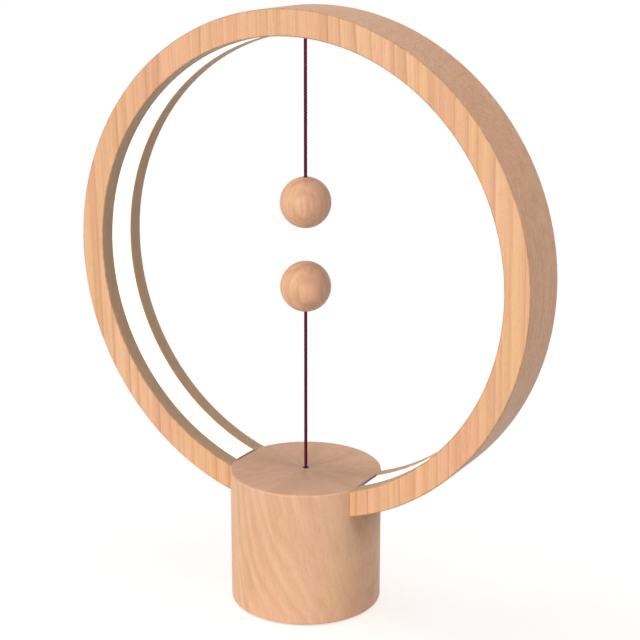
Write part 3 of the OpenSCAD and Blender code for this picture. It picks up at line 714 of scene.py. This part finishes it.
@dataclass(frozen=True)
class Metal(Finish):
    """Plated or drawn metal, brushed along one axis.

    Attributes:
        rough: Roughness of the clean metal.
        brushed: Share of each axis that the brushing keeps.
        stain: How much duller the handled places are.
    """

    rough: float = 0.3
    brushed: tuple[float, float, float] = (1, 1, 0.05)
    stain: float = 0.18

    def build(self, graph: Graph) -> Material:
        """Scratches, stains and a faint tint."""
        scratch = graph.noise(graph.millimetres(self.brushed), scale=9.0, detail=3, rough=0.6)
        cloud = graph.noise(scale=0.35, detail=3, rough=0.55)
        colour = graph.mix(graph.between(cloud, 0.35, 0.7, 0, 0.5), tone(*self.colour), self.shade(0.84))
        dull = graph.maths("ADD", scratch, cloud)
        rough = graph.between(dull, 0.7, 1.4, self.rough, self.rough + self.stain)
        return graph.dress(
            Base_Color=colour,
            Metallic=1.0,
            Roughness=rough,
            Normal=graph.bump(scratch, depth=0.006),
        )


@dataclass(frozen=True)
class Moulded(Finish):
    """Moulded or extruded plastic, rubber or resin with a fine grain.

    Attributes:
        rough: Roughness.
        grain: Millimetres from one grain to the next.
        grain_depth: Depth of the grain in millimetres.
        dust: Share of pale dust in the hollows.
    """

    rough: float = 0.5
    grain: float = 0.35
    grain_depth: float = 0.02
    dust: float = 0.08

    def build(self, graph: Graph) -> Material:
        """Grain, flow marks and dust."""
        grain = graph.noise(scale=1 / self.grain)
        flow = graph.noise(graph.millimetres((1, 1, 0.4)), scale=0.12, detail=3, bend=0.4)
        colour = graph.mix(graph.between(flow, 0.3, 0.7, 0, 0.6), tone(*self.colour), self.shade(0.9))
        colour = graph.mix(graph.between(grain, 0.62, 0.85, 0, self.dust), colour, tone(205, 200, 192))
        return graph.dress(
            Base_Color=colour,
            Roughness=graph.between(flow, 0.3, 0.7, self.rough, self.rough + 0.12),
            Normal=graph.bump(grain, depth=self.grain_depth),
        )


@dataclass(frozen=True)
class CastIron(Finish):
    """The turned ballast, with tool marks round its middle."""

    def build(self, graph: Graph) -> Material:
        """Turning lines, mottle and specks of rust."""
        x, y, z = graph.split(graph.millimetres())
        radius = graph.length(graph.join(x, y, graph.maths("MULTIPLY", z, 0.5)))
        turned = graph.maths("FRACT", graph.maths("MULTIPLY", radius, 2.2))
        mottle = graph.noise(scale=0.5, detail=4, rough=0.6)
        specks = graph.noise(scale=0.9, detail=3, rough=0.6)
        rust = graph.between(specks, 0.62, 0.72, 0, 0.5)
        colour = graph.mix(graph.between(mottle, 0.35, 0.7), tone(*self.colour), self.shade(0.78))
        colour = graph.mix(rust, colour, tone(122, 84, 62))
        return graph.dress(
            Base_Color=colour,
            Metallic=0.85,
            Roughness=graph.between(mottle, 0.3, 0.7, 0.42, 0.62),
            Normal=graph.bump(turned, depth=0.02),
        )


@dataclass(frozen=True)
class CircuitBoard(Finish):
    """Solder resist over a hatch of copper tracks."""

    def build(self, graph: Graph) -> Material:
        """Tracks under the resist, and tinned dots."""
        x, y, _ = graph.split(graph.millimetres())
        across = graph.maths("FRACT", graph.maths("MULTIPLY", x, 0.55))
        along = graph.maths("FRACT", graph.maths("MULTIPLY", y, 0.4))
        where = graph.noise(scale=0.16, detail=1)
        hatch = graph.mix(graph.between(where, 0.49, 0.51), across, along)
        track = graph.between(hatch, 0.42, 0.5, 0, 0.75)
        dots = graph.between(graph.cells(graph.millimetres((1, 1, 0)), scale=0.35), 0.16, 0.12)
        colour = graph.mix(track, self.shade(0.82), self.shade(1.3))
        colour = graph.mix(dots, colour, tone(196, 194, 186))
        return graph.dress(
            Base_Color=colour,
            Roughness=graph.between(dots, 0, 1, 0.34, 0.22),
            Normal=graph.bump(track, depth=0.03),
            Coat_Weight=0.3,
            Coat_Roughness=0.2,
        )


@dataclass(frozen=True)
class StripBoard(Finish):
    """The flexible board of the light strips, with its copper pads between the chips."""

    def build(self, graph: Graph) -> Material:
        """Pads along the strip and a soft weave."""
        _, y, _ = graph.split(graph.millimetres())
        rail = graph.between(graph.maths("ABSOLUTE", y), 3.4, 3.7)
        weave = graph.noise(scale=2.4)
        colour = graph.mix(graph.between(rail, 0, 1, 0, 0.7), tone(*self.colour), tone(214, 168, 104))
        colour = graph.mix(graph.between(weave, 0.35, 0.75, 0, 0.2), colour, self.shade(0.85))
        return graph.dress(Base_Color=colour, Roughness=0.42, Normal=graph.bump(weave, depth=0.015))


@dataclass(frozen=True)
class Phosphor(Finish):
    """The lights' resin, glowing behind the diffuser."""

    def build(self, graph: Graph) -> Material:
        """A warm glow with a grain of phosphor."""
        grain = graph.noise(scale=6.0)
        colour = graph.mix(graph.between(grain, 0.35, 0.7), tone(*self.colour), self.shade(0.9))
        return graph.dress(
            Base_Color=colour,
            Roughness=0.25,
            Emission_Color=colour,
            Emission_Strength=0.6,
        )


# --- the frame's sizes


@dataclass(frozen=True)
class Sizes:
    """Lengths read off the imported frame, in metres.

    Attributes:
        ring_radius: Radius of the ring's outside.
        ring_z: Height of its centre.
        half_depth: Half its depth.
        base_radius: Radius of the base.
        base_top: Height of its top.
        face_width: Width of the ring's face.
    """

    ring_radius: float
    ring_z: float
    half_depth: float
    base_radius: float
    base_top: float
    face_width: float = 12.5 * MM

    def seam_x(self) -> float:
        """How far from the middle the ring's inside goes down through the base's top."""
        inside = self.ring_radius - self.face_width
        return math.sqrt(inside ** 2 - (self.ring_z - self.base_top) ** 2)

    @classmethod
    def read(cls) -> "Sizes":
        """Measures the ring and the base.

        Returns:
            The sizes.
        """
        _, ring_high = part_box("ring_frame")
        _, base_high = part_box("base_shell")
        return cls(
            ring_radius=ring_high[0],
            ring_z=ring_high[2] - ring_high[0],
            half_depth=ring_high[1],
            base_radius=base_high[0],
            base_top=base_high[2],
        )


def heights(node: str) -> tuple[float, float]:
    """Lowest and highest points of a node of the frame, in millimetres.

    Args:
        node: The node.

    Returns:
        Its two heights.
    """
    low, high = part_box(node)
    return low[2] / MM, high[2] / MM


SIZES = Sizes.read()

FINISHES: dict[str, Finish] = {finish.name: finish for finish in (
    RingBeech(
        "beech_ring", (247, 193, 151), pith=(-420, -90), lean=(-0.03, 0.02), line_gap=6.4, line_depth=1.0,
        wave=1.1, flow=0.04, fade=0.05, tilt=1.5, figure=1.2, fibre_depth=0.15, seed=11,
        centre_z=SIZES.ring_z / MM, outside=SIZES.ring_radius / MM, half_depth=SIZES.half_depth / MM),
    BaseBeech(
        "beech_base", (238, 190, 152), pith=(-34, -10), lean=(-0.4, 0.06), line_gap=7.0, line_depth=0.3,
        wave=1.5, flow=0.4, fade=0.24, tilt=14, figure=0.5, fibre_depth=0.1, seed=4,
        top_z=SIZES.base_top / MM, radius=SIZES.base_radius / MM, seam_x=SIZES.seam_x() / MM),
    Beech(
        "beech_ball", (243, 192, 155), pith=(-60, 30), line_gap=5.2, line_depth=0.42, wave=0.9, fade=0.16,
        tilt=4, figure=1.3, fibre_depth=0.12, seed=31),
    Opal("diffuser", (255, 253, 248)),
    TwistedCord("cord", (84, 10, 42)),
    Metal("steel", (196, 198, 203), rough=0.28),
    Metal("brass", (214, 178, 104), rough=0.26),
    Moulded("eyelet", (58, 40, 34), rough=0.4, grain=0.5, grain_depth=0.01),
    Metal("magnet", (208, 208, 212), rough=0.16, brushed=(1, 1, 1), stain=0.1),
    Moulded("black_plastic", (38, 38, 40), rough=0.48),
    Moulded("white_plastic", (228, 226, 216), rough=0.42, dust=0.0),
    Moulded("red_plastic", (196, 62, 50), rough=0.3, dust=0.0),
    Moulded("foot_rubber", (42, 42, 42), rough=0.72, grain=0.6, grain_depth=0.04, dust=0.2),
    CastIron("ballast_iron", (128, 130, 134)),
    StripBoard("led_strip", (240, 234, 214)),
    Phosphor("led_phosphor", (250, 226, 128)),
    CircuitBoard("circuit_board", (34, 98, 62)),
    Moulded("chip_resin", (40, 40, 42), rough=0.55, grain=0.2),
    Metal("capacitor_can", (150, 156, 168), rough=0.3),
    Metal("socket_metal", (190, 192, 196), rough=0.24),
    Moulded("wire_red", (182, 38, 36), rough=0.35, dust=0.0),
    Moulded("wire_blue", (44, 72, 150), rough=0.35, dust=0.0),
)}


def paint(piece: Object, finish: Finish) -> None:
    """Gives a piece one finish all over.

    Args:
        piece: The piece.
        finish: Its finish.
    """
    if piece.data.materials:
        for index in range(len(piece.data.materials)):
            piece.data.materials[index] = finish.material()
    else:
        piece.data.materials.append(finish.material())


# --- making pieces


class Piece:
    """A mesh piece under construction, in millimetres."""

    def __init__(self, name: str) -> None:
        """Starts an empty mesh.

        Args:
            name: The piece's name.
        """
        self.name = name
        self.mesh = bmesh.new()

    def done(
        self, body: str, slot: str, replaces: Sequence[str] = (), smooth: float = 30
    ) -> Object:
        """Closes the mesh, turns it to metres and hands it to the frame.

        Args:
            body: The body that it rides on.
            slot: Slot of its finish.
            replaces: The frame's nodes that it stands for.
            smooth: Largest angle between faces that is shaded smooth, in degrees.

        Returns:
            The piece.
        """
        bmesh.ops.remove_doubles(self.mesh, verts=self.mesh.verts, dist=MERGE_DISTANCE)
        bmesh.ops.recalc_face_normals(self.mesh, faces=self.mesh.faces)
        bmesh.ops.scale(self.mesh, vec=(MM, MM, MM), verts=self.mesh.verts)
        data = bpy.data.meshes.new(self.name)
        self.mesh.to_mesh(data)
        self.mesh.free()
        data.shade_smooth()
        data.set_sharp_from_angle(angle=math.radians(smooth))
        piece = bpy.data.objects.new(self.name, data)
        bpy.context.scene.collection.objects.link(piece)
        paint(piece, FINISHES[slot])
        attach(piece, body)
        if replaces:
            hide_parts(*replaces)
        return piece


@dataclass(frozen=True)
class Rope:
    """Three strands laid together.

    Attributes:
        diameter: Diameter over the strands in millimetres, whose mean width is then 1.55.
        strand_share: A strand's radius as a share of it, at which the strands press well together.
        lay: Millimetres for one turn of a strand.
        strands: Number of strands.
        sides: Sides of a strand.
        turn_steps: Steps to a turn.
    """

    diameter: float = 1.66
    strand_share: float = 0.35
    lay: float = 4.6
    strands: int = 3
    sides: int = 9
    turn_steps: int = 14

    def lay_up(self, node: str, body: str) -> Object:
        """Makes the cord that stands for a plain one of the frame.

        Args:
            node: The frame's node.
            body: The body that it rides on.

        Returns:
            The cord.
        """
        piece = Piece(f"{node}_strands")
        self.model(piece, *heights(node))
        return piece.done(body, "cord", [node], smooth=60)

    def model(self, piece: Piece, low: float, high: float) -> None:
        """Lays the strands up the Z axis and cuts both ends flush.

        Args:
            piece: The piece that they go into.
            low: Lowest height.
            high: Highest height.
        """
        strand = self.diameter * self.strand_share
        orbit = self.diameter / 2 - strand
        spare = 2 * strand
        length = high - low + 2 * spare
        turns = length / self.lay
        steps = round(turns * self.turn_steps)
        slope = math.atan2(math.tau * orbit, self.lay)
        for index in range(self.strands):
            around = Matrix.Rotation(math.tau * index / self.strands, 4, "Z")
            start = Matrix.Translation((orbit, 0, low - spare)) @ Matrix.Rotation(-slope, 4, "X")
            ring = bmesh.ops.create_circle(
                piece.mesh, cap_ends=False, segments=self.sides, radius=strand,
                matrix=around @ start)["verts"]
            edges = list(dict.fromkeys(edge for vert in ring for edge in vert.link_edges))
            bmesh.ops.spin(
                piece.mesh, geom=ring + edges, cent=(0, 0, 0), axis=(0, 0, 1), dvec=(0, 0, length / steps),
                angle=math.tau * turns, steps=steps, use_merge=False, use_duplicate=False)
        for height, outward in ((low, -1), (high, 1)):
            bmesh.ops.bisect_plane(
                piece.mesh, geom=[*piece.mesh.verts, *piece.mesh.edges, *piece.mesh.faces],
                dist=CUT_DISTANCE, plane_co=(0, 0, height), plane_no=(0, 0, outward), clear_outer=True)
        rims = [edge for edge in piece.mesh.edges if edge.is_boundary]
        bmesh.ops.holes_fill(piece.mesh, edges=rims, sides=0)


# --- sub-assemblies

SLOT_OF: dict[str, str] = {part["node"]: part["material_slot"] for part in frame["record"]["subparts"]}


@dataclass
class SubAssembly:
    """Pieces that are put together as one on the bench.

    Attributes:
        nodes: The frame's nodes in it.
    """

    nodes: ClassVar[tuple[str, ...]] = ()

    def model(self) -> list[Object]:
        """Makes its own pieces.

        Returns:
            The new pieces.
        """
        return []

    def dress(self) -> None:
        """Finishes its nodes by the record's slots."""
        for name in self.nodes:
            paint(frame["nodes"][name], FINISHES[SLOT_OF[name]])
            LOG.info("%s: %s finished as %s", type(self).__name__, name, SLOT_OF[name])


@dataclass
class Ring(SubAssembly):
    """The wooden ring, its diffuser and the light strips."""

    nodes: ClassVar[tuple[str, ...]] = (
        "ring_frame", "diffuser", "led_strip_left", "led_strip_right", "led_chips", "ring_saddle",
        "ring_end_screws",
    )


@dataclass
class Base(SubAssembly):
    """The turned base and what closes and weights it."""

    nodes: ClassVar[tuple[str, ...]] = (
        "base_shell", "base_plate", "foot_ring", "ballast", "base_plate_screws", "ballast_screws",
    )


@dataclass
class Hanging(SubAssembly):
    """The upper ball, its cord and what holds the cord in the ring.

    Attributes:
        rope: The cord's make.
    """

    rope: Rope

    nodes: ClassVar[tuple[str, ...]] = (
        "cord_clip", "cord_clip_screws", "upper_eyelet", "upper_anchor_knot", "upper_cord_bend",
        "upper_ball_top", "upper_ball_bottom", "upper_magnet", "upper_ball_knot",
    )

    def model(self) -> list[Object]:
        """Lays the cord that the ball hangs on."""
        cord = self.rope.lay_up("upper_cord", "upper_pendulum")
        return [cord]


@dataclass
class Tethered(SubAssembly):
    """The lower ball and the cord that ties it to the switch.

    Attributes:
        rope: The cord's make.
    """

    rope: Rope

    nodes: ClassVar[tuple[str, ...]] = (
        "lower_eyelet", "lower_cord_bend", "lower_ball_top", "lower_ball_bottom", "lower_magnet",
        "lower_ball_knot",
    )

    def model(self) -> list[Object]:
        """Lays the cord, which shortens as the ball comes down."""
        cord = self.rope.lay_up("lower_cord", "lower_line")
        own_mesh(cord)
        return [cord]


@dataclass
class PullSwitch(SubAssembly):
    """The switch that the lower ball's cord draws."""

    nodes: ClassVar[tuple[str, ...]] = (
        "switch_housing", "switch_mount_screws", "switch_plunger", "plunger_spring", "pull_cord",
        "pull_cord_knot", "micro_switch", "micro_switch_screws", "micro_switch_button",
        "micro_switch_terminals",
    )


@dataclass
class Electronics(SubAssembly):
    """The board, the power inlet and the wires."""

    nodes: ClassVar[tuple[str, ...]] = (
        "control_board", "board_posts", "board_screws", "board_chips", "board_capacitors",
        "wire_sockets", "inlet_socket", "inlet_bezel", "led_wires_left", "led_wires_right",
        "switch_wires",
    )


# --- studio


def toward(azimuth: float, elevation: float) -> Vector:
    """The direction from the object to what stands round it.

    Args:
        azimuth: Degrees to the right of the front.
        elevation: Degrees above the horizon.

    Returns:
        The direction.
    """
    turn, rise = math.radians(azimuth), math.radians(elevation)
    return Vector((math.sin(turn) * math.cos(rise), -math.cos(turn) * math.cos(rise), math.sin(rise)))


def stand(name: str, data: bpy.types.ID, place: Vector, back: Vector) -> Object:
    """Stands a camera or a lamp in the scene.

    Args:
        name: Its name.
        data: Its camera or light.
        place: Where it stands.
        back: The direction opposite to the one that it faces.

    Returns:
        The object.
    """
    made = bpy.data.objects.new(name, data)
    made.location = place
    made.rotation_mode = "QUATERNION"
    made.rotation_quaternion = (-back).to_track_quat("-Z", "Y")
    bpy.context.scene.collection.objects.link(made)
    return made


@dataclass
class Viewpoint:
    """The camera, at the photograph's viewing angle.

    Attributes:
        azimuth: Degrees to the right of the front.
        elevation: Degrees above the horizon.
        distance: Metres from what it looks at.
        aim_right: Metres to the right of the lamp's axis at which it looks.
        aim_z: Height at which it looks.
        lens: Focal length in millimetres.
        shift: Sideways and upward shift of the frame.
    """

    azimuth: float = 30.14
    elevation: float = 14.50
    distance: float = 0.7356
    aim_right: float = 0.00305
    aim_z: float = 0.1596
    lens: float = 86.76
    shift: tuple[float, float] = (0.01244, -0.0547)

    def build(self) -> None:
        """Makes it the scene's camera."""
        turn = math.radians(self.azimuth)
        back = toward(self.azimuth, self.elevation)
        right = Vector((math.cos(turn), math.sin(turn), 0))
        aim = Vector((0, 0, self.aim_z)) + right * self.aim_right
        data = bpy.data.cameras.new("viewpoint")
        data.lens = self.lens
        data.sensor_width = SENSOR_WIDTH
        data.shift_x, data.shift_y = self.shift
        bpy.context.scene.camera = stand("viewpoint", data, aim + back * self.distance, back)


class Reach(Enum):
    """What a lamp's light falls on, by how the floor is linked to it."""

    OBJECT = "EXCLUDE"
    FLOOR = "INCLUDE"


@dataclass(frozen=True)
class Softbox:
    """A broad, soft lamp so far off that its light is even.

    Attributes:
        name: Its name.
        azimuth: Degrees to the right of the front.
        elevation: Degrees above the horizon.
        level: Brightness that it gives a white surface that faces it.
        spread: Degrees across the lamp, as the object sees it.
        lights: What its light falls on.
        tint: Colour of its light.
        distance: Metres to its place in the scene, which changes nothing in its light.
    """

    name: str
    azimuth: float
    elevation: float
    level: float
    spread: float
    lights: Reach
    tint: tuple[float, float, float] = (1, 1, 1)
    distance: float = 2

    def build(self, floor: Object) -> None:
        """Hangs the lamp.

        Args:
            floor: The floor.
        """
        away = toward(self.azimuth, self.elevation)
        data = bpy.data.lights.new(self.name, "SUN")
        data.angle = math.radians(self.spread)
        data.color = self.tint
        data.energy = self.level * math.pi
        lamp = stand(self.name, data, away * self.distance, away)
        linked = bpy.data.collections.new(f"{self.name}_floor")
        linked.objects.link(floor)
        lamp.light_linking.receiver_collection = linked
        linked.collection_objects[0].light_linking.link_state = self.lights.value

    def on_floor(self) -> tuple[float, ...]:
        """Brightness that it gives a white floor, by colour."""
        level = 0 if self.lights is Reach.OBJECT else self.level * math.sin(math.radians(self.elevation))
        return tuple(level * share for share in self.tint)


@dataclass
class Studio:
    """The floor, the surroundings and the lamps.

    Attributes:
        ambient: Brightness and tint of the light from all round.
        softboxes: The lamps.
        floor_half: Half the floor's width in metres.
        floor_grey: How much light the floor throws back.
        floor_white: Brightness of the lit floor to the camera, a little over white.
    """

    ambient: tuple[float, float, float] = (0.27, 0.29, 0.325)
    softboxes: tuple[Softbox, ...] = (
        Softbox("key", azimuth=-11, elevation=17, level=0.69, spread=34,
                lights=Reach.OBJECT, tint=(1.0, 0.96, 0.90)),
        Softbox("side", azimuth=90, elevation=40, level=0.27, spread=16,
                lights=Reach.OBJECT, tint=(0.98, 0.98, 1.0)),
        Softbox("shade", azimuth=-72, elevation=66, level=0.12, spread=50, lights=Reach.FLOOR),
    )
    floor_half: float = 6.0
    floor_grey: float = 0.85
    floor_white: float = 1.015

    def build(self) -> None:
        """Makes the studio."""
        self.surroundings()
        floor = self.floor()
        for softbox in self.softboxes:
            softbox.build(floor)

    def floor_lift(self) -> tuple[float, ...]:
        """The light that brings the lit floor up to white, by colour."""
        lit = [sum(shares) for shares in zip(self.ambient, *(lamp.on_floor() for lamp in self.softboxes))]
        return tuple(self.floor_white - self.floor_grey * share for share in lit)

    def seen(self, tree: bpy.types.NodeTree) -> Socket:
        """One where the camera, a reflection or clear glass looks, else nothing.

        Args:
            tree: The tree that it goes into.

        Returns:
            The number.
        """
        light_path = tree.nodes.new("ShaderNodeLightPath")
        total = light_path.outputs["Is Camera Ray"]
        for name in ("Is Glossy Ray", "Is Transmission Ray"):
            larger = tree.nodes.new("ShaderNodeMath")
            larger.operation = "MAXIMUM"
            tree.links.new(total, larger.inputs[0])
            tree.links.new(light_path.outputs[name], larger.inputs[1])
            total = larger.outputs[0]
        return total

    def surroundings(self) -> None:
        """White to the eye, and a soft light from all round to the object."""
        world = bpy.data.worlds.new("surroundings")
        world.use_nodes = True
        tree = world.node_tree
        background = next(node for node in tree.nodes if node.type == "BACKGROUND")
        mixed = tree.nodes.new("ShaderNodeMix")
        mixed.data_type = "RGBA"
        mixed.inputs[MIX_BELOW].default_value = (*self.ambient, 1)
        mixed.inputs[MIX_ABOVE].default_value = WHITE
        tree.links.new(self.seen(tree), mixed.inputs[MIX_SHARE])
        tree.links.new(mixed.outputs[MIX_RESULT], background.inputs["Color"])
        bpy.context.scene.world = world

    def floor(self) -> Object:
        """A plain pale floor that keeps the object's shadow.

        Returns:
            The floor.
        """
        mesh = bmesh.new()
        bmesh.ops.create_grid(mesh, x_segments=1, y_segments=1, size=self.floor_half)
        data = bpy.data.meshes.new("floor")
        mesh.to_mesh(data)
        mesh.free()
        floor = bpy.data.objects.new("floor", data)
        bpy.context.scene.collection.objects.link(floor)
        graph = Graph("floor")
        graph.dress(Base_Color=(*[self.floor_grey] * 3, 1), Roughness=1.0, Specular_IOR_Level=0.0)
        lift = graph.node("ShaderNodeEmission", {
            "Color": (*self.floor_lift(), 1), "Strength": self.seen(graph.tree)})
        both = graph.node("ShaderNodeAddShader", {0: graph.shader.outputs[0], 1: lift.outputs[0]})
        graph.tree.links.new(both.outputs[0], graph.output.inputs["Surface"])
        data.materials.append(graph.material)
        return floor


def main() -> None:
    """Builds the view, the cords and the sub-assemblies."""
    logging.basicConfig(level=logging.INFO, format="%(message)s")
    bpy.context.scene.view_settings.view_transform = "Standard"
    Viewpoint().build()
    rope = Rope()
    for part in (Hanging(rope), Tethered(rope), Ring(), Base(), PullSwitch(), Electronics()):
        for piece in part.model():
            LOG.info("%s: made %s", type(part).__name__, piece.name)
        part.dress()
    Studio().build()


if __name__ == "__main__":
    main()
